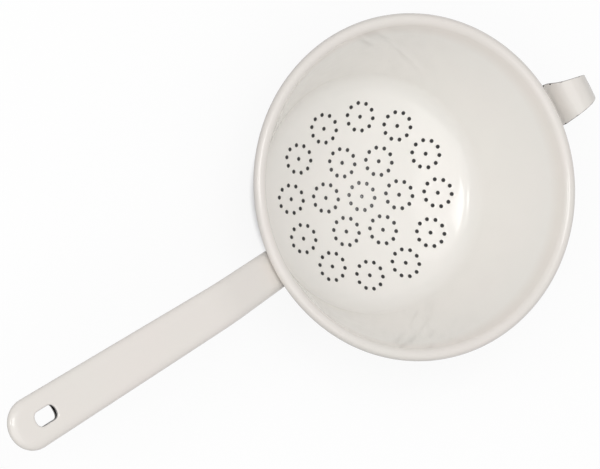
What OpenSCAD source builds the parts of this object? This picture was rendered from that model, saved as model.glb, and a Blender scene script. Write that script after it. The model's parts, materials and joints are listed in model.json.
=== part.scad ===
// Long-handled enamelled colander with a hook that rests on a pot's edge.
// +Z runs up the bowl's axis and +X out along the handle.
// The origin is the lowest point of the domed floor, on the bowl's axis.

/* [Bowl] */
// Outer diameter of the rolled rim
rim_d = 200; // [180:1:230]
// Height from the underside of the floor to the top of the rim
bowl_h = 86; // [80:1:100]
// Thickness of the bowl's sheet with its enamel
sheet_t = 1; // [0.8:0.1:1.2]
// Radius of the domed floor, on its underside
dome_r = 230; // [200:5:400]
// Distance from the axis at which the dome turns into the knee
floor_r = 60; // [58:1:66]
// Inside radius of the knee between floor and wall
knee_r = 16; // [8:1:20]
// Radius over which the wall flares into the rim
flare_r = 4.2; // [3:0.1:8]
// Diameter of the rolled bead
bead_d = 6.4; // [5:0.2:8]
// Gap between the rolled edge and the wall
curl_gap = 0.4; // [0.2:0.1:0.8]

/* [Drain holes] */
// Diameter of a drain hole
hole_d = 2.5; // [1.5:0.1:3]
// Holes on the circle of each rosette, round its middle hole
rosette_holes = 10; // [6:1:12]
// Radius of a rosette's circle of holes
rosette_r = 8.15; // [7:0.05:9]
// Distance between the middles of neighbouring rosettes
rosette_pitch = 23.3; // [22:0.1:24]
// Turn of each rosette about its middle, in degrees
rosette_turn = -2.3; // [-18:0.1:18]
// Turn of the whole pattern away from the handle, in degrees
pattern_turn = 3.8; // [0:0.1:30]
// Distance by which the pattern sits off the bowl's axis, across the handle
pattern_shift = 0.6; // [0:0.1:1.5]

/* [Handle] */
// Level distance from the edge of the rim to the tip of the handle
handle_reach = 191.4; // [150:0.2:260]
// Width of the handle at the rim
handle_root_w = 23.4; // [20:0.2:28]
// Width of the handle at its round end
handle_end_w = 29.8; // [26:0.2:36]
// Thickness of the hollow handle
handle_t = 6; // [5:0.2:9]
// Thickness of the handle's sheet with its enamel
handle_sheet_t = 1; // [0.8:0.1:1.2]
// Radius on the long edges of the handle
handle_edge_r = 2.6; // [1.6:0.1:2.8]
// Drop from the top of the rim to the handle's upper face, at the edge of the rim
handle_drop = 7.4; // [7:0.1:12]
// Rise of the handle where it leaves the bowl, in degrees
handle_root_rise = 20; // [10:0.5:28]
// Rise of the handle beyond its bend, in degrees
handle_rise = 6.5; // [0:0.5:15]
// Distance beyond the edge of the rim at which the bend begins
bend_at = 30; // [15:1:60]
// Radius of the bend
bend_r = 80; // [40:5:150]

/* [Hanging slot] */
// Length of the slot along the handle
slot_l = 15.2; // [12:0.2:20]
// Width of the slot
slot_w = 9.2; // [7:0.2:12]
// Distance along the handle from its tip to the middle of the slot
slot_from_tip = 24; // [20:0.2:40]

/* [Pot hook] */
// Thickness of the hook's strip with its enamel
hook_t = 1.2; // [1:0.1:1.6]
// Width of the strip at its foot and leg
hook_w = 26.4; // [22:0.2:32]
// Width to which the strip tapers at its tip
hook_tip_w = 11; // [8:0.2:16]
// Radius on the two corners of the tip
hook_corner_r = 4; // [2:0.2:5]
// Outside radius of the arch
arch_r = 11.1; // [10:0.1:16]
// Height of the arch above the top of the rim
arch_rise = 2.5; // [0:0.5:6]
// Level distance from the edge of the rim to the middle of the arch
arch_out = 16.5; // [15:0.5:22]
// Turn of the hook about the bowl's axis, away from straight opposite the handle, in degrees
hook_turn = 0.7; // [0:0.1:3]
// Rise of the straight part between the leg's bend and the arch, in degrees
upright_rise = 62; // [50:1:90]
// Length of that straight part
upright_l = 6; // [1:0.5:8]
// Length of the strip below the arch, down to its tip
hook_tip_l = 5; // [5:0.5:12]
// Rise of the strip between the wall and its leg's bend, in degrees
leg_rise = 20; // [5:1:35]
// Inside radius of that bend
leg_r = 3.4; // [2:0.2:6]
// Length of the foot that lies on the wall
foot_l = 13; // [8:0.5:20]

/* [Hidden] */
enamel = "#EDE9E4";
$fn = 96;
// Degrees to a step on the small arcs and on the wide arc of the dome
arc_step = 6;
dome_step = 1.5;
// Depth to which a welded piece starts inside the wall, before it is trimmed, and a cutter's excess
bury = 3;
past = 1;
rim_r = rim_d / 2;
bead_r = bead_d / 2;

// The wall runs straight between the knee's arc and the flare's arc, touching both
knee_out_r = knee_r + sheet_t;
floor_angle = asin(floor_r / dome_r);
knee_c = [(dome_r - knee_out_r) * sin(floor_angle), dome_r - (dome_r - knee_out_r) * cos(floor_angle)];
bead_c = [rim_r - bead_r, bowl_h - bead_r];
flare_c = [bead_c[0], bowl_h - flare_r];
knee_to_flare = flare_c - knee_c;
wall_angle = atan2(knee_to_flare[1], knee_to_flare[0]) + asin((knee_r + flare_r) / norm(knee_to_flare));
into_bowl = [-sin(wall_angle), cos(wall_angle)];

// The rolled edge stops where it would come nearer to the wall than the gap
bead_to_wall = flare_r - (bead_c - flare_c) * into_bowl - sheet_t;
curl_spare = acos(min(1, (bead_to_wall - curl_gap) / bead_r)) + 15;
curl_end = wall_angle - 270 + curl_spare;

// Outer face of the wall at a height
function wall_x(z) = let(p = flare_c + (flare_r - sheet_t) * into_bowl) p[0] + (z - p[1]) / tan(wall_angle);

// Points on an arc about a middle, from one direction to another
function arc(c, r, from, to, step = arc_step) = let(n = max(2, ceil(abs(to - from) / step)))
    [for (i = [0:n]) c + r * [cos(from + (to - from) * i / n), sin(from + (to - from) * i / n)]];

// Under face of the sheet from the axis out to the rolled edge
under_dome = arc([0, dome_r], dome_r, -90, floor_angle - 90, dome_step);
under_face = concat(
    under_dome,
    arc(knee_c, knee_out_r, floor_angle - 90, wall_angle - 90),
    arc(flare_c, flare_r - sheet_t, wall_angle + 90, 90),
    arc(bead_c, bead_r - sheet_t, 90, curl_end));

// Upper face of the sheet over the same stretches
upper_face = concat(
    arc([0, dome_r], dome_r - sheet_t, -90, floor_angle - 90, dome_step),
    arc(knee_c, knee_r, floor_angle - 90, wall_angle - 90),
    arc(flare_c, flare_r, wall_angle + 90, 90),
    arc(bead_c, bead_r, 90, curl_end));

function backwards(list) = [for (i = [len(list) - 1:-1:0]) list[i]];

// Everything inside the bowl's outline, which trims what is welded to the wall
module bowl_envelope() {
    rotate_extrude()
        polygon(concat(
            under_dome,
            arc(knee_c, knee_out_r, floor_angle - 90, wall_angle - 90),
            [flare_c + (flare_r - sheet_t) * into_bowl],
            arc(bead_c, bead_r, curl_end, 90),
            [[0, bowl_h]]));
}

// A drain hole's cutter, long enough for the highest part of the dome
floor_rise = dome_r * (1 - cos(floor_angle));
module drain_hole() {
    translate([0, 0, -past])
        cylinder(d = hole_d, h = floor_rise + sheet_t + 2 * past, $fn = 32);
}

module rosette() {
    drain_hole();
    for (i = [0:rosette_holes - 1])
        rotate(rosette_turn + i * 360 / rosette_holes)
            translate([rosette_r, 0, 0])
                drain_hole();
}

module rosette_circle(count, radius, turn) {
    for (i = [0:count - 1])
        rotate(turn + i * 360 / count)
            translate([radius, 0, 0])
                rotate(-turn - i * 360 / count)
                    rosette();
}

module bowl() {
    color(enamel)
        difference() {
            rotate_extrude()
                polygon(concat(under_face, backwards(upper_face)));
            translate([0, pattern_shift, 0])
                rotate(pattern_turn) {
                    rosette();
                    rosette_circle(6, rosette_pitch, 30);
                    rosette_circle(12, 2 * rosette_pitch, 0);
                }
        }
}

// A path is a list of stations [x, z, heading, length so far]. Each leg is [length, turn].
function step_on(p, length, turn) = let(
    mid = p[2] + turn / 2,
    chord = turn == 0 ? length : length * sin(turn / 2) / (turn / 2 * PI / 180))
    [p[0] + chord * cos(mid), p[1] + chord * sin(mid), p[2] + turn, p[3] + length];
function leg_steps(leg) = max(1, ceil(abs(leg[1]) / arc_step));
function walk_leg(p, leg, i = 1) = i > leg_steps(leg) ? [] :
    concat([step_on(p, leg[0] * i / leg_steps(leg), leg[1] * i / leg_steps(leg))], walk_leg(p, leg, i + 1));
function walk(p, legs, k = 0) = k == len(legs) ? [p] :
    concat([p], walk(step_on(p, legs[k][0], legs[k][1]), legs, k + 1));
function route(p, legs) = let(corners = walk(p, legs))
    concat([p], [for (k = [0:len(legs) - 1]) each walk_leg(corners[k], legs[k])]);
function arc_leg(r, turn) = [r * abs(turn) * PI / 180, turn];

// The handle's middle line, from inside the wall to the tip
handle_at_rim = [rim_r, bowl_h - handle_drop - handle_t / 2 / cos(handle_root_rise)];
wall_meet = (handle_at_rim[0] - wall_x(handle_at_rim[1])) / (1 - tan(handle_root_rise) / tan(wall_angle));
root_run = (wall_meet + bury) / cos(handle_root_rise);
handle_bend = arc_leg(bend_r, handle_rise - handle_root_rise);
bend_run = bend_at / cos(handle_root_rise);
handle_start = [handle_at_rim[0] - root_run * cos(handle_root_rise),
    handle_at_rim[1] - root_run * sin(handle_root_rise), handle_root_rise, 0];
bend_end = step_on([rim_r + bend_at, 0, handle_root_rise, 0], handle_bend[0], handle_bend[1]);
tip_run = (rim_r + handle_reach - bend_end[0]) / cos(handle_rise);
end_r = handle_end_w / 2;
handle_l = root_run + bend_run + handle_bend[0] + tip_run;
handle_path = route(handle_start,
    [[root_run, 0], [bend_run, 0], handle_bend, [tip_run - end_r, 0]]);
handle_end = handle_path[len(handle_path) - 1];

// One side of the handle's plan: [station, half width, direction of the edge's outward normal]
edge_turns = [for (a = [arc_step:arc_step:90]) a];
half_plan = concat(
    [for (p = handle_path) [p, handle_root_w / 2 + (end_r - handle_root_w / 2) * (p[3] - root_run)
        / (handle_l - end_r - root_run), 0]],
    [for (a = edge_turns) [step_on(handle_end, end_r * sin(a), 0), end_r * cos(a), a]]);
plan_n = len(half_plan) - 1;

// Edge profile: inset from the plan and height above the seam, outer face then inner face
edge_profile = concat(
    [[0, 0]],
    [for (a = [0:18:90]) [handle_edge_r * (1 - cos(a)), handle_t / 2 - handle_edge_r * (1 - sin(a))]],
    [for (a = [90:-18:0]) [handle_edge_r - (handle_edge_r - handle_sheet_t) * cos(a),
        handle_t / 2 - handle_edge_r + (handle_edge_r - handle_sheet_t) * sin(a)]],
    [[handle_sheet_t, 0]]);
profile_n = len(edge_profile);
top_out = profile_n / 2 - 1;
top_in = profile_n / 2;

// A point of a shell: along the plan by k, round the edge by j, on one side of the middle,
// above the seam where up is 1 and below it where up is -1
function shell_point(k, j, side, up) = let(
    h = half_plan[k],
    p = step_on(h[0], -edge_profile[j][0] * sin(h[2]), 0),
    n = up * edge_profile[j][1])
    [p[0] - n * sin(p[2]), side * (h[1] - edge_profile[j][0] * cos(h[2])), p[1] + n * cos(p[2])];

// The plan is followed out along one side, round the tip and back along the other
round_n = 2 * plan_n;
function round_point(k, j, up) = k <= plan_n ? shell_point(k, j, -1, up) : shell_point(round_n - k, j, 1, up);
function at(k, j) = k * profile_n + j % profile_n;
function quad(a, b, c, d) = [[a, b, c], [a, c, d]];
function turned(faces, up) = up > 0 ? faces : [for (f = faces) backwards(f)];

// One pressed half of the hollow handle, open towards the seam
module half_shell(up) {
    points = [for (k = [0:round_n]) for (j = [0:profile_n - 1]) round_point(k, j, up)];
    edge = [for (k = [0:round_n - 1]) for (j = [0:profile_n - 1])
        if (j != top_out) each quad(at(k, j), at(k, j + 1), at(k + 1, j + 1), at(k + 1, j))];
    plate_out = [for (k = [0:plan_n - 2]) each quad(at(k, top_out), at(round_n - k, top_out),
        at(round_n - k - 1, top_out), at(k + 1, top_out))];
    plate_in = [for (k = [0:plan_n - 2]) each quad(at(k + 1, top_in), at(round_n - k - 1, top_in),
        at(round_n - k, top_in), at(k, top_in))];
    tip = [[at(plan_n - 1, top_out), at(plan_n + 1, top_out), at(plan_n, top_out)],
        [at(plan_n, top_in), at(plan_n + 1, top_in), at(plan_n - 1, top_in)]];
    root = concat(
        [for (j = [0:top_out - 1]) each quad(at(0, j), at(0, profile_n - 1 - j),
            at(0, profile_n - 2 - j), at(0, j + 1))],
        [for (j = [0:top_out - 1]) each quad(at(round_n, j + 1), at(round_n, profile_n - 2 - j),
            at(round_n, profile_n - 1 - j), at(round_n, j))],
        quad(at(0, top_out), at(0, top_in), at(round_n, top_in), at(round_n, top_out)));
    polyhedron(points, turned(concat(edge, plate_out, plate_in, tip, root), up), convexity = 6);
}

module slot_cut() {
    middle = step_on(handle_end, end_r - slot_from_tip, 0);
    run = (slot_l - slot_w) / 2;
    translate([middle[0], 0, middle[1]])
        rotate([0, -handle_rise, 0])
            union() {
                for (side = [-1, 1])
                    translate([side * run, 0, -handle_t])
                        cylinder(d = slot_w, h = 2 * handle_t, $fn = 48);
                translate([-run, -slot_w / 2, -handle_t])
                    cube([2 * run, slot_w, 2 * handle_t]);
            }
}

// A half of the handle, cut off at the wall and slotted near its tip
module handle_half(up) {
    color(enamel)
        difference() {
            half_shell(up);
            bowl_envelope();
            slot_cut();
        }
}

module handle_upper_shell() {
    handle_half(1);
}

module handle_lower_shell() {
    handle_half(-1);
}

// The hook's middle line, from inside the wall up its leg, over the arch and down to the tip
arch_mid_r = arch_r - hook_t / 2;
arch_c = [rim_r + arch_out, bowl_h + arch_rise - arch_r];
upright = arch_c + arch_mid_r * [-sin(upright_rise), cos(upright_rise)]
    - upright_l * [cos(upright_rise), sin(upright_rise)];
leg_bend_r = leg_r + hook_t / 2;
leg_end = upright - leg_bend_r * [sin(upright_rise) - sin(leg_rise), cos(leg_rise) - cos(upright_rise)];
leg_run = (leg_end[0] - wall_x(leg_end[1])) / (cos(leg_rise) - sin(leg_rise) / tan(wall_angle)) + bury;
leg_foot = leg_end - leg_run * [cos(leg_rise), sin(leg_rise)];
hook_legs = [[leg_run, 0], arc_leg(leg_bend_r, upright_rise - leg_rise), [upright_l, 0],
    arc_leg(arch_mid_r, -90 - upright_rise), [hook_tip_l - hook_corner_r, 0]];
hook_bent = route([leg_foot[0], leg_foot[1], leg_rise, 0], hook_legs);
hook_last = hook_bent[len(hook_bent) - 1];
hook_path = concat(hook_bent,
    [for (a = [15:15:90]) step_on(hook_last, hook_corner_r * sin(a), 0)]);
taper_from = hook_legs[0][0] + hook_legs[1][0];
hook_l = hook_last[3] + hook_corner_r;

// Half the strip's width, tapered beyond the leg's bend, with the tip's corners rounded off
function taper_at(s) = hook_w / 2 - (hook_w - hook_tip_w) / 2 * max(0, s - taper_from) / (hook_l - taper_from);
function corner_at(s) = let(c = max(0, s - hook_l + hook_corner_r) / hook_corner_r)
    hook_corner_r * (1 - sqrt(max(0, 1 - c * c)));
function strip_ring(p) = let(
    w = taper_at(p[3]) - corner_at(p[3]),
    up = hook_t / 2 * [-sin(p[2]), cos(p[2])])
    [[p[0] + up[0], -w, p[1] + up[1]], [p[0] + up[0], w, p[1] + up[1]],
        [p[0] - up[0], w, p[1] - up[1]], [p[0] - up[0], -w, p[1] - up[1]]];

module hook_strip() {
    n = len(hook_path);
    sides = [for (k = [0:n - 2]) for (j = [0:3])
        each quad(4 * k + j, 4 * k + (j + 1) % 4, 4 * k + 4 + (j + 1) % 4, 4 * k + 4 + j)];
    ends = concat(quad(3, 2, 1, 0), quad(4 * n - 4, 4 * n - 3, 4 * n - 2, 4 * n - 1));
    polyhedron([for (p = hook_path) each strip_ring(p)], concat(sides, ends), convexity = 4);
}

// The foot follows the round wall below the leg
module hook_foot() {
    top = leg_foot[1] + bury * sin(leg_rise);
    bottom = top - foot_l * sin(wall_angle);
    inside = bury * into_bowl;
    outside = -hook_t * into_bowl;
    intersection() {
        rotate_extrude()
            polygon([
                [wall_x(bottom), bottom] + inside,
                [wall_x(bottom), bottom] + outside,
                [wall_x(top), top] + outside,
                [wall_x(top), top] + inside]);
        translate([0, -hook_w / 2, 0])
            cube([rim_r, hook_w, bowl_h]);
    }
}

module pot_hook() {
    color(enamel)
        rotate(180 - hook_turn)
            difference() {
                union() {
                    hook_strip();
                    hook_foot();
                }
                bowl_envelope();
            }
}

bowl();
handle_upper_shell();
handle_lower_shell();
pot_hook();
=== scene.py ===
import json
import math

import bpy
from mathutils import Matrix, Quaternion, Vector


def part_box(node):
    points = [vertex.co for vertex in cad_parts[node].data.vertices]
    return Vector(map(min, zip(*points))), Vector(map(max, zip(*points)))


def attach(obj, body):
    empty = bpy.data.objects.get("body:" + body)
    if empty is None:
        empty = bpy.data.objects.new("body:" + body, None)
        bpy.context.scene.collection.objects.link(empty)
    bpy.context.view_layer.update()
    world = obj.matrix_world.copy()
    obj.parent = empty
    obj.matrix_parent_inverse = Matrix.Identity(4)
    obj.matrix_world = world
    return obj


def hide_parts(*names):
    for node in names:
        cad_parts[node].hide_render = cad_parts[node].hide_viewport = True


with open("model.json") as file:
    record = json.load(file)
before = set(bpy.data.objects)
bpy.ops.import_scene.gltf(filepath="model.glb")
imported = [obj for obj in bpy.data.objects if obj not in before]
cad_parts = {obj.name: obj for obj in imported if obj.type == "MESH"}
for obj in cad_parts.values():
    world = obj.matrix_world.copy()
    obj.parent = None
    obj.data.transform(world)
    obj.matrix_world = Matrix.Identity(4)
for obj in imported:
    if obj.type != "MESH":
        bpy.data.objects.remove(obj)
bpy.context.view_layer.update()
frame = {"record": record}
mm = 0.001
mounts = {mount["name"]: mount for mount in frame["record"]["mounts"]}


def mountPlace(name):
    return Vector(mounts[name]["pos_m"]), Vector(mounts[name]["axis"])


# Selecting and finishing, shared by all pieces

def onlySelect(piece):
    bpy.ops.object.select_all(action="DESELECT")
    piece.select_set(True)
    bpy.context.view_layer.objects.active = piece


def pick(piece, kind, test):        # leaves the piece in edit mode with what passes the test selected
    onlySelect(piece)
    bpy.ops.object.mode_set(mode="EDIT")
    bpy.ops.mesh.select_mode(type=kind)
    bpy.ops.mesh.select_all(action="DESELECT")
    bpy.ops.object.mode_set(mode="OBJECT")
    mesh = piece.data
    points = mesh.vertices
    for part in {"VERT": points, "EDGE": mesh.edges, "FACE": mesh.polygons}[kind]:
        corners = [part.co] if kind == "VERT" else [points[index].co for index in part.vertices]
        part.select = bool(test(corners))
    bpy.ops.object.mode_set(mode="EDIT")


def pickAll(piece):
    onlySelect(piece)
    bpy.ops.object.mode_set(mode="EDIT")
    bpy.ops.mesh.select_mode(type="VERT")
    bpy.ops.mesh.select_all(action="SELECT")


def doneEditing():
    bpy.ops.object.mode_set(mode="OBJECT")


def useModifier(piece, kind, **choices):
    onlySelect(piece)
    modifier = piece.modifiers.new(kind.title(), kind)
    for name, value in choices.items():
        setattr(modifier, name, value)
    bpy.ops.object.modifier_apply(modifier=modifier.name)


def copyPiece(piece, name):
    copy = piece.copy()
    copy.data = piece.data.copy()
    copy.name = copy.data.name = name
    bpy.context.scene.collection.objects.link(copy)
    return copy


def joinPieces(pieces, name):
    bpy.ops.object.select_all(action="DESELECT")
    for piece in pieces:
        piece.select_set(True)
    bpy.context.view_layer.objects.active = pieces[0]
    bpy.ops.object.join()
    pieces[0].name = pieces[0].data.name = name
    return pieces[0]


def settle(piece):        # the object ends at the origin, unturned and unscaled
    onlySelect(piece)
    bpy.ops.object.transform_apply(location=True, rotation=True, scale=True)


def carve(piece, cutter):
    bpy.context.view_layer.update()
    useModifier(piece, "BOOLEAN", operation="DIFFERENCE", solver="EXACT", object=cutter)
    bpy.data.objects.remove(cutter)
    pickAll(piece)
    bpy.ops.mesh.remove_doubles(threshold=0.002 * mm)
    bpy.ops.mesh.dissolve_degenerate(threshold=0.001 * mm)
    doneEditing()


def giveCoats(piece, coats):        # slot 0 is the white enamel, slot 1 the bare ground coat
    for coat in coats:
        piece.data.materials.append(coat)


def markThinCoatAndShade(piece, shareAt):        # enamel runs thin where a face turns away over a sharp edge; the dark there is partly painted shade for the edge's dark outline
    shares = piece.data.attributes.new("thin_coat_and_shade", "FLOAT", "POINT").data
    for point, share in zip(piece.data.vertices, shares):
        share.value = max(0, min(1, shareAt(point)))


def smoothFaces(piece, **choices):
    onlySelect(piece)
    bpy.ops.object.shade_smooth()
    useModifier(piece, "WEIGHTED_NORMAL", mode="FACE_AREA", weight=50, keep_sharp=False, **choices)


def turnedProfile(name, profile, around):        # a ring grown along a profile of (radius, height)
    radius, height = profile[0]
    bpy.ops.object.select_all(action="DESELECT")
    bpy.ops.mesh.primitive_circle_add(
        vertices=around, radius=radius, location=(0, 0, height), rotation=(0, 0, math.pi / around))
    piece = bpy.context.object
    piece.name = piece.data.name = name
    pickAll(piece)
    for nextRadius, nextHeight in profile[1:]:
        bpy.ops.mesh.extrude_region_move(TRANSFORM_OT_translate={"value": (0, 0, nextHeight - height)})
        share = nextRadius / radius
        bpy.ops.transform.resize(value=(share, share, 1), center_override=(0, 0, nextHeight))
        radius, height = nextRadius, nextHeight
    doneEditing()
    settle(piece)
    return piece


def arcPoints(centre, radius, start, end, steps):
    angles = [math.radians(start + (end - start) * step / steps) for step in range(steps + 1)]
    return [(centre[0] + radius * math.cos(a), centre[1] + radius * math.sin(a)) for a in angles]


# Bowl: one pressing with a domed floor, a straight wall and a rolled rim

bowlLow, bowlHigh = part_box("bowl")
bowlLook = {
    "sheet": 1.0 * mm,
    "domeRadius": 229 * mm,        # upper face of the floor
    "floorRadius": 60 * mm,
    "kneeRadius": 16 * mm,
    "flareRadius": 4.2 * mm,
    "beadRadius": 3.2 * mm,
    "curlGap": 0.4 * mm,
    "around": 192,
    "kneeSteps": 14,
    "wallSteps": 8,
    "flareSteps": 12,
    "curlSteps": 26,
}
rimRadius = bowlHigh.x
rimTop = bowlHigh.z


def bowlProfile(look):
    dome, knee, flare, bead = (look[name] for name in ("domeRadius", "kneeRadius", "flareRadius", "beadRadius"))
    floorAngle = math.asin(look["floorRadius"] / (dome + look["sheet"]))
    domeTop = dome + look["sheet"]
    kneeMiddle = Vector((
        (dome - knee) * math.sin(floorAngle), domeTop - (dome - knee) * math.cos(floorAngle)))
    beadMiddle = Vector((rimRadius - bead, rimTop - bead))
    flareMiddle = Vector((beadMiddle.x, rimTop - flare))
    between = flareMiddle - kneeMiddle
    wallAngle = math.atan2(between.y, between.x) + math.asin((knee + flare) / between.length)
    intoBowl = Vector((-math.sin(wallAngle), math.cos(wallAngle)))
    spare = flare - (beadMiddle - flareMiddle).dot(intoBowl) - look["sheet"] - look["curlGap"]
    wallDegrees = math.degrees(wallAngle)
    curlEnd = wallDegrees - 270 + math.degrees(math.acos(min(1, spare / bead))) + 15
    kneeArc = arcPoints(kneeMiddle, knee, math.degrees(floorAngle) - 90, wallDegrees - 90, look["kneeSteps"])
    flareArc = arcPoints(flareMiddle, flare, wallDegrees + 90, 90, look["flareSteps"])
    foot, head = Vector(kneeArc[-1]), Vector(flareArc[0])
    wall = [foot.lerp(head, step / look["wallSteps"]) for step in range(1, look["wallSteps"])]
    curl = arcPoints(beadMiddle, bead, 90, curlEnd, look["curlSteps"])
    profile = kneeArc + [tuple(point) for point in wall] + flareArc + curl[1:]
    return profile, wallAngle, foot - intoBowl * look["sheet"]


wallProfile, wallAngle, wallFoot = bowlProfile(bowlLook)


def wallAt(height):        # radius of the wall's outer face
    return wallFoot.x + (height - wallFoot.y) / math.tan(wallAngle)


def floorAt(radius):        # height of the floor's upper face
    dome = bowlLook["domeRadius"]
    return dome + bowlLook["sheet"] - math.sqrt(dome ** 2 - radius ** 2)


# Drain holes: rosettes of ten round one, on two circles round a middle rosette

holeLook = {
    "radius": 1.2 * mm,
    "lip": (0.25 * mm, 0.2 * mm),        # width and depth of the rounding at each face
    "lipSteps": 3,
    "dish": (0.9 * mm, 0.11 * mm),        # the sheet sinks a little round each hole
    "dishSteps": 3,
    "around": 18,
    "perRosette": 10,
    "rosetteRadius": 8.15 * mm,
    "pitch": 23.3 * mm,
    "patternTurn": 3.8,
    "rosetteTurn": -2.3,
    "acrossHandle": 0.6 * mm,
}


def holePlaces(look):
    rosettes = [(0, 0)] + [(look["pitch"], 30 + 60 * step) for step in range(6)]
    rosettes += [(2 * look["pitch"], 30 * step) for step in range(12)]
    places = []
    for radius, angle in rosettes:
        turn = math.radians(angle + look["patternTurn"])
        middle = Vector((radius * math.cos(turn), radius * math.sin(turn) + look["acrossHandle"]))
        places.append(middle)
        for step in range(look["perRosette"]):
            spoke = math.radians(look["patternTurn"] + look["rosetteTurn"] + 360 * step / look["perRosette"])
            places.append(middle + look["rosetteRadius"] * Vector((math.cos(spoke), math.sin(spoke))))
    return places


def lippedEdge(look):
    lip, sink = look["lip"]
    quarter = [math.radians(70) * step / look["lipSteps"] for step in range(look["lipSteps"] + 1)]
    return [(look["radius"] + lip * (1 - math.cos(a)), sink * (math.sin(a) - 1)) for a in quarter]


def dishedEdge(look):        # the lip goes on in a shallow dish, drawn on the floor's curve
    wide, deep = look["dish"]
    edge = [(radius, height - deep) for radius, height in lippedEdge(look)]
    inner = edge[-1][0]
    for step in range(1, look["dishSteps"] + 1):
        share = step / look["dishSteps"]
        radius = inner + wide * share
        edge.append((radius, radius ** 2 / 2 / bowlLook["domeRadius"] - deep * (1 - share) ** 2))
    return edge


def lippedCutter(name, edge, depth, around):        # a plug with the same edge for both faces of a sheet
    (lastRadius, lastHeight), (outerRadius, outerHeight) = edge[-2:]
    rise = 0.03 * mm - min(0, outerHeight)
    run = rise * (outerRadius - lastRadius) / max(outerHeight - lastHeight, 0.2 * (outerRadius - lastRadius))
    edge = edge + [(outerRadius + run, outerHeight + rise)]
    below = [(r, -depth - z) for r, z in reversed(edge)]
    plug = turnedProfile(name, below + edge, around)
    pickAll(plug)
    bpy.ops.mesh.fill_holes(sides=0)
    bpy.ops.mesh.normals_make_consistent(inside=False)
    doneEditing()
    return plug


def makeBowl(coats):
    bowl = turnedProfile("bowl_pressing", wallProfile, bowlLook["around"])
    giveCoats(bowl, coats)
    edgeRadius = wallProfile[0][0]
    pick(bowl, "EDGE", lambda ends: all(abs(end.xy.length - edgeRadius) < 0.01 * mm and
                                        abs(end.z - wallProfile[0][1]) < 0.01 * mm for end in ends))
    bpy.ops.mesh.fill_grid(span=bowlLook["around"] // 4)
    doneEditing()
    for point in bowl.data.vertices:
        if point.co.xy.length < edgeRadius - 0.01 * mm:
            point.co.z = floorAt(point.co.xy.length)
    pickAll(bowl)
    bpy.ops.mesh.normals_make_consistent(inside=False)
    doneEditing()
    middleFace = min(bowl.data.polygons, key=lambda face: face.center.xy.length)
    if middleFace.normal.z < 0:
        pickAll(bowl)
        bpy.ops.mesh.flip_normals()
        doneEditing()
    useModifier(bowl, "SOLIDIFY", thickness=bowlLook["sheet"], offset=-1, use_even_offset=True)
    print("bowl pressed:", len(bowl.data.polygons), "faces")
    plug = lippedCutter("hole_plug", dishedEdge(holeLook), bowlLook["sheet"], holeLook["around"])
    domeMiddle = Vector((0, 0, bowlLook["domeRadius"] + bowlLook["sheet"]))
    plugs = []
    for place in holePlaces(holeLook):
        top = Vector((place.x, place.y, floorAt(place.length)))
        upright = (domeMiddle - top).to_track_quat("Z", "Y").to_matrix().to_4x4()
        onePlug = copyPiece(plug, "hole_plug_copy")
        onePlug.data.transform(Matrix.Translation(top) @ upright)
        plugs.append(onePlug)
    bpy.data.objects.remove(plug)
    carve(bowl, joinPieces(plugs, "hole_plugs"))
    print("drain holes punched:", len(plugs), "holes,", len(bowl.data.polygons), "faces")
    smoothFaces(bowl)
    return bowl


# Paths for the bent handle and hook, as legs of (length, turn in radians) from a start and a heading

def pathPoint(path, distance):
    place, heading = Vector(path["start"]), path["heading"]
    legs = path["legs"]
    for index, (length, turn) in enumerate(legs):
        last = index == len(legs) - 1
        step = distance if last or distance < length else length
        curve = turn / length if turn else 0
        bend = curve * step
        chord = step if abs(bend) < 1e-9 else math.sin(bend / 2) / (curve / 2)
        middle = heading + bend / 2
        place = place + chord * Vector((math.cos(middle), math.sin(middle)))
        heading += bend
        distance -= length
        if distance < 0:
            break
    return place, heading


def arcLeg(radius, degrees):
    turn = math.radians(degrees)
    return radius * abs(turn), turn


def layAlong(piece, path):        # x becomes the distance along the path and z the height above it
    for point in piece.data.vertices:
        place, heading = pathPoint(path, point.co.x)
        height = point.co.z
        point.co.x = place.x - height * math.sin(heading)
        point.co.z = place.y + height * math.cos(heading)


# Handle: two pressed shells, seamed along their edges, bent once and welded to the wall

restPlace, restAxis = mountPlace("handle_rest")
slotPlace, slotAxis = mountPlace("hanging_slot")
handleBox = [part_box("handle_upper_shell"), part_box("handle_lower_shell")]
handleLook = {
    "thickness": 6 * mm,
    "sheet": 1.0 * mm,
    "rimWidth": 23.4 * mm,
    "endWidth": handleBox[0][1].y - handleBox[0][0].y,
    "edgeWide": 5.9 * mm,        # the long edges are quarter ellipses
    "edgeHigh": 2.95 * mm,
    "edgeSteps": 10,
    "crown": 0.05,        # share of the height lost towards the long edges
    "endSteps": 20,
    "bendRadius": 80 * mm,
    "bendSteps": 12,
    "insideWall": 16 * mm,
    "weldRadius": 1.4 * mm,
    "weldSteps": 5,
    "slotWidth": 9.0 * mm,
    "slotLip": (1.6 * mm, 0.95 * mm),
    "slotShift": 0.4 * mm,
    "upperSlot": {"length": 14.0 * mm, "width": 8.9 * mm, "endShare": 0.85, "power": 2.3},
    "lowerSlot": {"length": 13.9 * mm, "width": 9.3 * mm, "endShare": 0.6, "power": 2.7},
    "collarWidth": 1.0 * mm,        # the slot's edge is turned in, as a collar below the sheet
    "collarDepth": 0.6 * mm,
}


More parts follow.
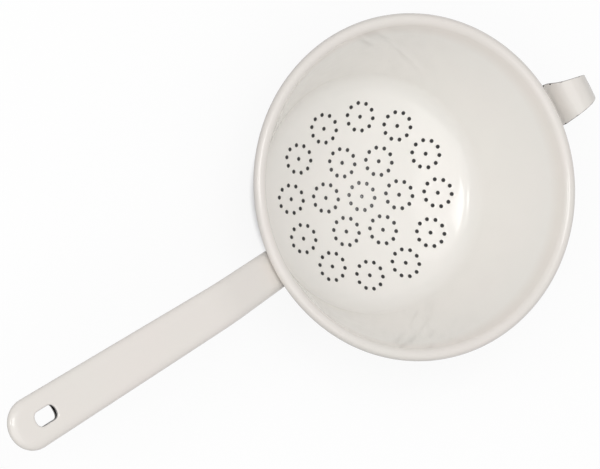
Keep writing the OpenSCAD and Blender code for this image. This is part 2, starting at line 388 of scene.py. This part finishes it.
def handlePath(look):
    rootRise = math.atan2(restAxis.x, -restAxis.z)
    tipRise = math.atan2(-slotAxis.x, slotAxis.z)
    onRoot = Vector((restPlace.x, restPlace.z)) - Vector((restAxis.x, restAxis.z)) * look["thickness"] / 2
    atRim = onRoot + Vector((1, math.tan(rootRise))) * (rimRadius - onRoot.x)
    slotPoint = Vector((slotPlace.x, slotPlace.z))
    gap = slotPoint - atRim
    cornerX = (gap.y - gap.x * math.tan(tipRise)) / (math.tan(rootRise) - math.tan(tipRise))
    turn = tipRise - rootRise
    tangent = look["bendRadius"] * math.tan(abs(turn) / 2)
    toBend = cornerX / math.cos(rootRise) - tangent
    corner = atRim + Vector((cornerX, cornerX * math.tan(rootRise)))
    toTip = (handleBox[0][1].x - corner.x) / math.cos(tipRise) - tangent
    inside = look["insideWall"]
    path = {
        "start": atRim - inside * Vector((math.cos(rootRise), math.sin(rootRise))),
        "heading": rootRise,
        "legs": [(inside + toBend, 0), (look["bendRadius"] * abs(turn), turn), (toTip, 0)],
    }
    slotAlong = inside + toBend + look["bendRadius"] * abs(turn) + (slotPoint - corner).length - tangent
    return path, slotAlong


def rootSolve(path, across, height):        # distance along the path at which a line meets the wall
    low, high = 0.0, handleLook["insideWall"]
    for _ in range(40):
        middle = (low + high) / 2
        place, heading = pathPoint(path, middle)
        x = place.x - height * math.sin(heading)
        z = place.y + height * math.cos(heading)
        if math.hypot(x, across) < wallAt(z):
            low = middle
        else:
            high = middle
    return (low + high) / 2


def halfWidth(along, look):
    straight = look["length"] - look["endWidth"] / 2
    share = min(1, (along - look["insideWall"]) / (straight - look["insideWall"]))
    return (look["rimWidth"] + (look["endWidth"] - look["rimWidth"]) * share) / 2


def crownShell(shell, look):
    for point in shell.data.vertices:
        point.co.z *= 1 - look["crown"] * (point.co.y / halfWidth(point.co.x, look)) ** 2


def weldToWall(shell, path, look):        # ends every line on the wall, with a small fillet outside
    inside, weld = look["insideWall"], look["weldRadius"]
    wide, high = look["edgeWide"], look["edgeHigh"]
    topCore = look["thickness"] / 2 - high
    for point in shell.data.vertices:
        along, across, height = point.co
        along = max(0, along)
        if along > inside:
            continue
        sideCore = halfWidth(along, look) - wide
        aside = across - max(-sideCore, min(sideCore, across))
        above = height - max(-topCore, min(topCore, height))
        grow = 0
        if (aside / wide) ** 2 + (above / high) ** 2 > 0.8 and along < weld:        # outer face
            grow = weld - math.sqrt(weld ** 2 - (weld - along) ** 2)
        moved = Vector((across, height)) + grow * Vector((aside / wide ** 2, above / high ** 2)).normalized()
        start = rootSolve(path, moved.x, moved.y)
        point.co = (start + along * (inside - start) / inside, moved.x, moved.y)


def makeBlank(look, path):        # the handle's outer form, straight and solid, open at the bowl's end
    length, endRadius = look["length"], look["endWidth"] / 2
    straight = length - endRadius
    stretch = look["edgeWide"] / look["edgeHigh"]
    bpy.ops.object.select_all(action="DESELECT")
    bpy.ops.mesh.primitive_cube_add(
        size=1, location=(length / 2, 0, 0), scale=(length, 1, look["thickness"] * stretch))
    blank = bpy.context.object
    blank.name = blank.data.name = "handle_blank"
    settle(blank)
    pickAll(blank)
    bpy.ops.mesh.bisect(plane_co=(straight, 0, 0), plane_no=(1, 0, 0))
    doneEditing()
    for point in blank.data.vertices:
        point.co.y = math.copysign(halfWidth(point.co.x, look), point.co.y)
    pick(blank, "EDGE", lambda ends: all(end.x > length - 0.01 * mm for end in ends) and
         abs(ends[0].y - ends[1].y) < 0.01 * mm)
    bpy.ops.mesh.bevel(
        offset=endRadius - 0.01 * mm, segments=look["endSteps"], affect="EDGES", clamp_overlap=False)
    bpy.ops.mesh.select_all(action="SELECT")
    bpy.ops.mesh.remove_doubles(threshold=0.03 * mm)
    doneEditing()
    pick(blank, "EDGE", lambda ends: abs(ends[0].z - ends[1].z) < 0.01 * mm and
         not (abs(ends[0].x - ends[1].x) < 0.01 * mm and ends[0].y * ends[1].y < 0))
    bpy.ops.mesh.bevel(
        offset=look["edgeWide"], segments=look["edgeSteps"], affect="EDGES", clamp_overlap=False)
    bpy.ops.mesh.select_all(action="SELECT")
    bpy.ops.transform.resize(value=(1, 1, 1 / stretch), center_override=(0, 0, 0))
    bendStart, bendLength = path["legs"][0][0], path["legs"][1][0]
    rest = bendStart + bendLength
    cuts = [look["weldRadius"] * (1 - math.cos(math.radians(90 * step / look["weldSteps"])))
            for step in range(1, look["weldSteps"] + 1)]
    cuts += [look["insideWall"] * step / 4 for step in (1, 2, 3, 4)]
    cuts += [bendStart + bendLength * step / look["bendSteps"] for step in range(look["bendSteps"] + 1)]
    cuts += [rest + (straight - endRadius - rest) * step / 7 for step in range(1, 8)]
    for cut in cuts:
        bpy.ops.mesh.select_all(action="SELECT")
        bpy.ops.mesh.bisect(plane_co=(cut, 0, 0), plane_no=(1, 0, 0))
    doneEditing()
    pick(blank, "FACE", lambda corners: all(corner.x < 0.01 * mm for corner in corners))
    bpy.ops.mesh.delete(type="FACE")
    doneEditing()
    return blank


def slotForm(piece, look, form, slotAlong):        # turns a round form into the slot's, at its place
    radius = look["slotWidth"] / 2
    endReach = form["endShare"] * radius
    spread = form["length"] / 2 - endReach
    for point in piece.data.vertices:
        spoke = point.co.xy.normalized()
        beyond = point.co.xy.length - radius
        along = endReach * abs(spoke.x) ** (2 / form["power"]) + spread
        across = form["width"] / 2 * abs(spoke.y) ** (2 / form["power"])
        point.co.x = slotAlong + look["slotShift"] + math.copysign(along, spoke.x) + beyond * spoke.x
        point.co.y = math.copysign(across, spoke.y) + beyond * spoke.y


def makeCollar(look, coats):
    top = look["thickness"] / 2 - look["sheet"] / 2
    bottom = look["thickness"] / 2 - look["sheet"] - look["collarDepth"]
    bpy.ops.object.select_all(action="DESELECT")
    bpy.ops.mesh.primitive_cylinder_add(
        vertices=48, radius=look["slotWidth"] / 2 + look["collarWidth"], depth=top - bottom,
        location=(0, 0, (top + bottom) / 2), rotation=(0, 0, math.pi / 48))
    collar = bpy.context.object
    collar.name = collar.data.name = "slot_collar"
    settle(collar)
    giveCoats(collar, coats)
    for face in collar.data.polygons:
        face.material_index = 1
    return collar


def makeHandle(coats):
    look = handleLook
    path, slotAlong = handlePath(look)
    look["length"] = sum(leg[0] for leg in path["legs"])
    thickness = look["thickness"]
    blank = makeBlank(look, path)
    slotLook = {"radius": look["slotWidth"] / 2, "lip": look["slotLip"], "lipSteps": 8}
    slotPlug = lippedCutter("slot_plug", lippedEdge(slotLook), thickness, 48)
    slotPlug.data.transform(Matrix.Translation((0, 0, thickness / 2)))
    roundSlot = makeCollar(look, coats)
    shells = []
    for name, side, form in (("handle_upper_pressing", 1, look["upperSlot"]),
                             ("handle_lower_pressing", -1, look["lowerSlot"])):
        shell = copyPiece(blank, name)
        pickAll(shell)
        bpy.ops.mesh.bisect(plane_co=(0, 0, 0), plane_no=(0, 0, side), clear_inner=True)
        doneEditing()
        giveCoats(shell, coats)
        useModifier(shell, "SOLIDIFY", thickness=look["sheet"], offset=-1, use_even_offset=True,
                    material_offset=1, material_offset_rim=0)
        collar = copyPiece(roundSlot, "slot_collar_copy")
        plug = copyPiece(slotPlug, "slot_plug_copy")
        for tool in (collar, plug):
            slotForm(tool, look, form, slotAlong)
        if side < 0:
            collar.data.transform(Matrix.Rotation(math.pi, 4, "X"))
        bpy.context.view_layer.update()
        useModifier(shell, "BOOLEAN", operation="UNION", solver="EXACT", object=collar)
        bpy.data.objects.remove(collar)
        carve(shell, plug)
        reach = form["length"] / 2 + look["slotLip"][0] / 2
        # the slot's lip darkens: partly thin coat, partly painted shade
        markThinCoatAndShade(shell, lambda point: abs(point.co.x - slotAlong) < reach > abs(point.co.y) and
                     (point.normal.xy.length - 0.75) / 0.15)
        crownShell(shell, look)
        weldToWall(shell, path, look)
        layAlong(shell, path)
        smoothFaces(shell)
        shells.append(shell)
        print(name, "pressed:", len(shell.data.polygons), "faces")
    for helper in (slotPlug, roundSlot, blank):
        bpy.data.objects.remove(helper)
    return shells


# Pot hook: one tapered strip, welded by its foot to the wall, bent out, up and over

chips = (        # places of lost enamel, with their radii
    ((-0.1028, -0.0118, 0.0752), 0.0009),
    ((-0.1052, -0.0113, 0.0797), 0.0007),
    ((-0.1074, -0.0105, 0.0836), 0.0005),
    ((-0.1036, 0.0143, 0.0772), 0.0007),
)

seatPlace, seatAxis = mountPlace("hook_seat")
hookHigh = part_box("pot_hook")[1]
hookLook = {
    "thickness": 1.2 * mm,
    "width": 26.3 * mm,
    "tipWidth": 10.9 * mm,
    "tipCorner": 4 * mm,
    "edgeRadius": 0.45 * mm,
    "crown": 0.3 * mm,        # the strip's edges hang lower than its middle
    "archRadius": 11.1 * mm,        # outside
    "uprightRise": 62,
    "uprightLength": 6 * mm,
    "tipLength": 5 * mm,
    "legRise": 20,
    "legBend": 4 * mm,
    "footBend": 3 * mm,
    "footLength": 12 * mm,
    "step": 0.8 * mm,
}


def hookPath(look):
    archRadius = look["archRadius"] - look["thickness"] / 2
    archMiddle = Vector((seatPlace.xy.length, hookHigh.z - look["thickness"] / 2 - archRadius))
    rise, steep = math.radians(look["legRise"]), math.radians(look["uprightRise"])
    upright = (archMiddle + archRadius * Vector((-math.sin(steep), math.cos(steep))) -
               look["uprightLength"] * Vector((math.cos(steep), math.sin(steep))))
    legEnd = upright - look["legBend"] * Vector((
        math.sin(steep) - math.sin(rise), math.cos(rise) - math.cos(steep)))
    wallX = wallAt(legEnd.y) + look["thickness"] / 2 / math.sin(wallAngle)
    run = (legEnd.x - wallX) / (math.cos(rise) - math.sin(rise) / math.tan(wallAngle))
    corner = legEnd - run * Vector((math.cos(rise), math.sin(rise)))
    tangent = look["footBend"] * math.tan((wallAngle - rise) / 2)
    upWall = Vector((math.cos(wallAngle), math.sin(wallAngle)))
    legs = [
        (look["footLength"], 0),
        arcLeg(look["footBend"], look["legRise"] - math.degrees(wallAngle)),
        (run - tangent, 0),
        arcLeg(look["legBend"], look["uprightRise"] - look["legRise"]),
        (look["uprightLength"], 0),
        arcLeg(archRadius, -90 - look["uprightRise"]),
        (look["tipLength"], 0),
    ]
    start = corner - (tangent + look["footLength"]) * upWall
    return {"start": start, "heading": wallAngle, "legs": legs}


def makeHook(coats):
    look = hookLook
    path = hookPath(look)
    lengths = [leg[0] for leg in path["legs"]]
    length = sum(lengths)
    taperStart = sum(lengths[:4])
    bpy.ops.object.select_all(action="DESELECT")
    bpy.ops.mesh.primitive_plane_add(size=1, location=(length / 2, 0, 0))
    hook = bpy.context.object
    hook.name = hook.data.name = "hook_strip"
    hook.scale = (length, look["width"], 1)
    settle(hook)
    pickAll(hook)
    bpy.ops.mesh.bisect(plane_co=(taperStart, 0, 0), plane_no=(1, 0, 0))
    doneEditing()
    for point in hook.data.vertices:
        if point.co.x > length - 0.01 * mm:
            point.co.y = math.copysign(look["tipWidth"] / 2, point.co.y)
    pick(hook, "VERT", lambda corner: corner[0].x > length - 0.01 * mm)
    bpy.ops.mesh.bevel(offset=look["tipCorner"], segments=8, affect="VERTICES", clamp_overlap=False)
    doneEditing()
    pick(hook, "VERT", lambda corner: corner[0].x < 0.01 * mm)
    bpy.ops.mesh.bevel(offset=look["tipCorner"] / 2, segments=6, affect="VERTICES", clamp_overlap=False)
    for cut in range(1, int(length / look["step"])):
        bpy.ops.mesh.select_all(action="SELECT")
        bpy.ops.mesh.bisect(plane_co=(cut * look["step"], 0, 0), plane_no=(1, 0, 0))
    for cut in range(-5, 6):
        bpy.ops.mesh.select_all(action="SELECT")
        bpy.ops.mesh.bisect(plane_co=(0, cut * look["width"] / 12, 0), plane_no=(0, 1, 0))
    doneEditing()
    useModifier(hook, "SOLIDIFY", thickness=look["thickness"], offset=0, use_even_offset=True)
    useModifier(hook, "BEVEL", width=look["edgeRadius"], segments=4, limit_method="ANGLE",
                angle_limit=math.radians(60), use_clamp_overlap=False)
    half, edgeRadius = look["thickness"] / 2, look["edgeRadius"]
    # the strip's narrow sides darken: partly thin coat, partly painted shade for the dark outline
    markThinCoatAndShade(hook, lambda point: 1.6 * math.sqrt(max(0, half - abs(point.co.z)) / edgeRadius))
    footEnd = lengths[0] + lengths[1]
    for point in hook.data.vertices:
        along, across, height = point.co
        flatten = max(0, min(1, (along - footEnd) / lengths[2]))
        roundShare = 1 - flatten * flatten * (3 - 2 * flatten)
        height -= look["crown"] * (1 - roundShare) * (across / (look["width"] / 2)) ** 2
        place, heading = pathPoint(path, along)
        x = place.x - height * math.sin(heading)
        wrap = across / x
        point.co.x = x * (roundShare * math.cos(wrap) + 1 - roundShare)
        point.co.y = across * (1 - roundShare) + x * math.sin(wrap) * roundShare
        point.co.z = place.y + height * math.cos(heading)
    hook.data.transform(Matrix.Rotation(math.atan2(seatPlace.y, seatPlace.x), 4, "Z"))
    giveCoats(hook, coats)
    smoothFaces(hook)
    print("hook bent:", len(hook.data.polygons), "faces")
    return hook


# Materials

def linearColour(hexText):
    values = [int(hexText[index:index + 2], 16) / 255 for index in (1, 3, 5)]
    values = [v / 12.92 if v <= 0.04045 else ((v + 0.055) / 1.055) ** 2.4 for v in values]
    return (*values, 1.0)


def addNode(tree, kind, settings=None, links=None):
    node = tree.nodes.new(kind)
    for name, value in (settings or {}).items():
        if isinstance(name, int) or name in node.inputs:
            node.inputs[name].default_value = value
        else:
            setattr(node, name, value)
    for name, source in (links or {}).items():
        tree.links.new(source, node.inputs[name])
    return node


def startMaterial(name):
    material = bpy.data.materials.new(name)
    material.use_nodes = True
    tree = material.node_tree
    tree.nodes.clear()
    return material, tree


# Share of the dark ground coat: it shows through along sharp edges, partly as painted shade for their dark outline,
# and in chips on the hook's edge
def thinCoatAndShade(tree, where):
    edge = addNode(tree, "ShaderNodeAttribute", {"attribute_name": "thin_coat_and_shade"})
    patches = addNode(tree, "ShaderNodeTexNoise", {"Scale": 1 / 0.004, "Detail": 2.0}, {"Vector": where})
    uneven = addNode(tree, "ShaderNodeMapRange", {"From Min": 0.35, "From Max": 0.65, "To Min": 0.5},
                     {"Value": patches.outputs["Fac"]})
    share = addNode(tree, "ShaderNodeMath", {"operation": "MULTIPLY"},
                    {0: edge.outputs["Fac"], 1: uneven.outputs[0]}).outputs[0]
    rough = addNode(tree, "ShaderNodeTexNoise", {"Scale": 1 / 0.001, "Detail": 2.0}, {"Vector": where})
    for place, radius in chips:
        away = addNode(tree, "ShaderNodeVectorMath", {"operation": "DISTANCE", 1: place}, {0: where})
        ragged = addNode(tree, "ShaderNodeMath", {"operation": "MULTIPLY_ADD", 1: 0.0012},
                         {0: rough.outputs["Fac"], 2: away.outputs["Value"]})
        chip = addNode(tree, "ShaderNodeMapRange",
                       {"From Min": radius + 0.0005, "From Max": radius + 0.0007, "To Min": 1.0, "To Max": 0.0},
                       {"Value": ragged.outputs[0]})
        share = addNode(tree, "ShaderNodeMath", {"operation": "MAXIMUM"}, {0: share, 1: chip.outputs[0]}).outputs[0]
    return share


# White vitreous enamel: glass fused over steel, so it is smooth and wet-looking, with soft waves, and
# whiter below the rim's height than over the rim, handle and hook: painted light that lifts the shade inside the
# bowl
def whiteEnamel():
    material, tree = startMaterial("white_vitreous_enamel")
    where = addNode(tree, "ShaderNodeTexCoord").outputs["Object"]
    clouds = addNode(tree, "ShaderNodeTexNoise", {"Scale": 1 / 0.045, "Detail": 3.0}, {"Vector": where})
    # the lower tint is whiter: painted light against the bowl's shade
    lowerTintLifted = addNode(tree, "ShaderNodeMix", {"data_type": "RGBA", 6: linearColour("#F5F4EF"),
                                            7: linearColour("#F8F4F0")}, {0: clouds.outputs["Fac"]})
    upperTint = addNode(tree, "ShaderNodeMix", {"data_type": "RGBA", 6: linearColour("#F0EDE6"),
                                           7: linearColour("#F3EBE6")}, {0: clouds.outputs["Fac"]})
    height = addNode(tree, "ShaderNodeSeparateXYZ", {}, {0: where}).outputs["Z"]
    raised = addNode(tree, "ShaderNodeMapRange", {"From Min": 0.072, "From Max": 0.08}, {"Value": height})
    tint = addNode(tree, "ShaderNodeMix", {"data_type": "RGBA"},
                   {0: raised.outputs[0], 6: lowerTintLifted.outputs[2], 7: upperTint.outputs[2]})
    waves = addNode(tree, "ShaderNodeTexNoise", {"Scale": 1 / 0.012, "Detail": 2.0}, {"Vector": where})
    bump = addNode(tree, "ShaderNodeBump", {"Strength": 0.25, "Distance": 0.0004},
                   {"Height": waves.outputs["Fac"]})
    # dark ground coat at edges, partly painted shade, and in the chips
    bareCoatAndShade = addNode(tree, "ShaderNodeMix", {"data_type": "RGBA", 7: linearColour("#3A3734")},
                   {0: thinCoatAndShade(tree, where), 6: tint.outputs[2]})
    shader = addNode(tree, "ShaderNodeBsdfPrincipled", {"Roughness": 0.085, "IOR": 1.52},
                     {"Base Color": bareCoatAndShade.outputs[2], "Normal": bump.outputs["Normal"]})
    addNode(tree, "ShaderNodeOutputMaterial", {}, {"Surface": shader.outputs["BSDF"]})
    return material


# Ground coat: the dark first firing, left bare inside the handle
def groundCoat():
    material, tree = startMaterial("dark_ground_coat")
    where = addNode(tree, "ShaderNodeTexCoord").outputs["Object"]
    grain = addNode(tree, "ShaderNodeTexNoise", {"Scale": 1 / 0.002, "Detail": 3.0}, {"Vector": where})
    tint = addNode(tree, "ShaderNodeMix", {"data_type": "RGBA", 6: linearColour("#1E1D1F"),
                                           7: linearColour("#2C2A2B")}, {0: grain.outputs["Fac"]})
    shader = addNode(tree, "ShaderNodeBsdfPrincipled", {"Roughness": 0.45}, {"Base Color": tint.outputs[2]})
    addNode(tree, "ShaderNodeOutputMaterial", {}, {"Surface": shader.outputs["BSDF"]})
    return material


# Studio: pale floor, soft light and the photograph's camera

stageLook = {
    "floorSize": 6.0,
    "floorColour": "#616161",
    "glowColour": "#F2F2F2",
    "shadowReach": 0.012,
    "shadowFloor": 0.6,
    "deepShadowGlow": 0.035,        # glow left in the deepest painted shadow, under the bowl, which shows through the drain holes
    "shadowCeiling": 0.95,
    "roomColour": "#FFFFFF",
    "roomStrength": 0.5,
}
cameraLook = {"aim": (0.0453, 0.0013, 0), "azimuth": 68.86, "elevation": 67.96, "roll": 81.85,
              "distance": 3.0205, "lens": 309.65, "sensor": 36}
lampLook = {
    "softbox": {"aside": 2, "up": -3, "away": 2.2, "size": (2.4, 2.4), "shape": "RECTANGLE", "watts": 17},
    "dishRight": {"aside": 8.8, "up": 10.6, "away": 3.0, "size": (1.06, 0.98), "shape": "ELLIPSE", "watts": 10},
    "dishLeft": {"aside": -17, "up": 9.5, "away": 3.0, "size": (0.46, 0.72), "shape": "ELLIPSE", "watts": 3.7},
}


def makeCamera(look):
    azimuth, elevation = math.radians(look["azimuth"]), math.radians(look["elevation"])
    back = Vector((math.sin(azimuth) * math.cos(elevation), -math.cos(azimuth) * math.cos(elevation),
                   math.sin(elevation)))
    camera = bpy.data.objects.new("photo_camera", bpy.data.cameras.new("photo_camera"))
    bpy.context.scene.collection.objects.link(camera)
    camera.data.lens = look["lens"]
    camera.data.sensor_width = look["sensor"]
    camera.data.clip_end = 20
    camera.rotation_mode = "QUATERNION"
    roll = Quaternion((0, 0, 1), math.radians(look["roll"]))
    camera.rotation_quaternion = (-back).to_track_quat("-Z", "Y") @ roll
    camera.location = Vector(look["aim"]) + back * look["distance"]
    bpy.context.scene.camera = camera
    return camera


def makeLamps(camera):
    aim = Vector(cameraLook["aim"])
    turn = camera.rotation_quaternion
    right, up, back = (turn @ Vector(axis) for axis in ((1, 0, 0), (0, 1, 0), (0, 0, 1)))
    for name, look in lampLook.items():
        aside, rise = math.radians(look["aside"]), math.radians(look["up"])
        toLamp = back * math.cos(aside) * math.cos(rise) + right * math.sin(aside) + up * math.sin(rise)
        lamp = bpy.data.lights.new(name, "AREA")
        lamp.shape = look["shape"]
        lamp.size, lamp.size_y = look["size"]
        lamp.energy = look["watts"]
        holder = bpy.data.objects.new(name, lamp)
        bpy.context.scene.collection.objects.link(holder)
        holder.location = aim + toLamp.normalized() * look["away"]
        facing = Matrix((right, up, back)).transposed().to_quaternion()
        swing = back.rotation_difference(toLamp)
        holder.rotation_mode = "QUATERNION"
        holder.rotation_quaternion = swing @ facing


# Glowing table: white where it is open; where something stands close over it the glow is dimmed, a painted shadow
def glowTableWithPaintedShadow(look):
    material, tree = startMaterial("glow_table_painted_shadow")
    paths = addNode(tree, "ShaderNodeLightPath").outputs
    seen = addNode(tree, "ShaderNodeMath", {"operation": "ADD"},
                   {0: paths["Is Camera Ray"], 1: paths["Is Glossy Ray"]})
    seen = addNode(tree, "ShaderNodeMath", {"operation": "ADD", "use_clamp": True},
                   {0: seen.outputs[0], 1: paths["Is Transmission Ray"]})
    # nearness to the object dims the table's glow: a painted shadow
    nearness = addNode(tree, "ShaderNodeAmbientOcclusion", {"Distance": look["shadowReach"], "samples": 16})
    open_ = addNode(tree, "ShaderNodeMapRange", {"From Min": look["shadowFloor"],
                                                 "From Max": look["shadowCeiling"],
                                                 "To Min": look["deepShadowGlow"]}, {"Value": nearness.outputs["AO"]})
    glow = addNode(tree, "ShaderNodeMath", {"operation": "MULTIPLY"}, {0: seen.outputs[0], 1: open_.outputs[0]})
    light = addNode(tree, "ShaderNodeEmission", {"Color": linearColour(look["glowColour"])},
                    {"Strength": glow.outputs[0]})
    paper = addNode(tree, "ShaderNodeBsdfDiffuse", {"Color": linearColour(look["floorColour"])})
    both = addNode(tree, "ShaderNodeAddShader", {}, {0: light.outputs[0], 1: paper.outputs[0]})
    addNode(tree, "ShaderNodeOutputMaterial", {}, {"Surface": both.outputs[0]})
    return material


def makeStage(look):
    bpy.ops.object.select_all(action="DESELECT")
    bpy.ops.mesh.primitive_plane_add(size=look["floorSize"], location=(0, 0, 0))
    floor = bpy.context.object
    floor.name = floor.data.name = "studio_floor"
    floor.data.materials.append(glowTableWithPaintedShadow(look))
    world = bpy.data.worlds.new("studio_world")
    bpy.context.scene.world = world
    world.use_nodes = True
    background = world.node_tree.nodes["Background"]
    background.inputs["Color"].default_value = linearColour(look["roomColour"])
    background.inputs["Strength"].default_value = look["roomStrength"]


coats = (whiteEnamel(), groundCoat())
bowlPiece = makeBowl(coats)
upperShell, lowerShell = makeHandle(coats)
hookPiece = makeHook(coats)
for piece, node in ((bowlPiece, "bowl"), (upperShell, "handle_upper_shell"),
                    (lowerShell, "handle_lower_shell"), (hookPiece, "pot_hook")):
    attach(piece, "root")
    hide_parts(node)
makeStage(stageLook)
makeLamps(makeCamera(cameraLook))
bpy.context.scene.view_settings.view_transform = "Standard"
print("studio lit")
